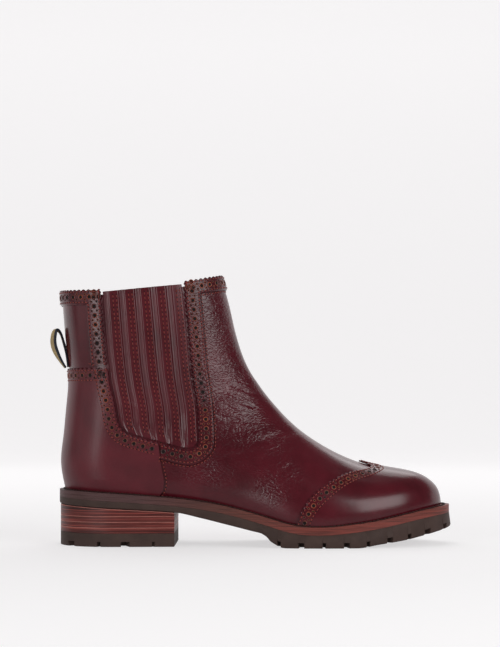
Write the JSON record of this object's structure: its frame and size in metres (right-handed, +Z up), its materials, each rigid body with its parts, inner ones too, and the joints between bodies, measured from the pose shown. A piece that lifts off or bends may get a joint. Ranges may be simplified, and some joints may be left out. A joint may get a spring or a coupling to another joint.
{
  "type": "brogue ankle boot",
  "caption": "Elastic-sided leather ankle boot with a punched wing toe cap, pleated gores, a pull loop, a stacked heel and a lugged rubber sole.",
  "frame": {"origin": "on the floor under the middle of the heel, on the underside of the heel's top piece", "axes": "+X towards the toe, +Y towards the inner side of this right boot, +Z up"},
  "size_m": [0.2748, 0.0953, 0.1841],
  "materials": {
    "leather": "polished oxblood leather, fine grain",
    "gore": "thin pleated leather over elastic",
    "tape": "woven tape, dark with a pale middle stripe",
    "insole": "plain lining leather",
    "welt": "dark edge-dyed leather, stitched",
    "sole_edge": "burnished red-brown edge",
    "rubber": "matt dark brown rubber",
    "stack": "stacked heel leather, waxed"
  },
  "bodies": {
    "root": {"upper": "leather", "toe_cap": "leather", "heel_counter": "leather", "facing_front": "leather", "facing_back": "leather", "gore_outer": "gore", "gore_inner": "gore", "pull_loop": "tape", "insole": "insole", "welt": "welt", "midsole": "sole_edge", "outsole": "rubber", "heel_lift_1": "stack", "heel_lift_2": "stack", "heel_lift_3": "stack", "heel_lift_4": "stack", "heel_top_piece": "rubber"}
  },
  "joints": []
}
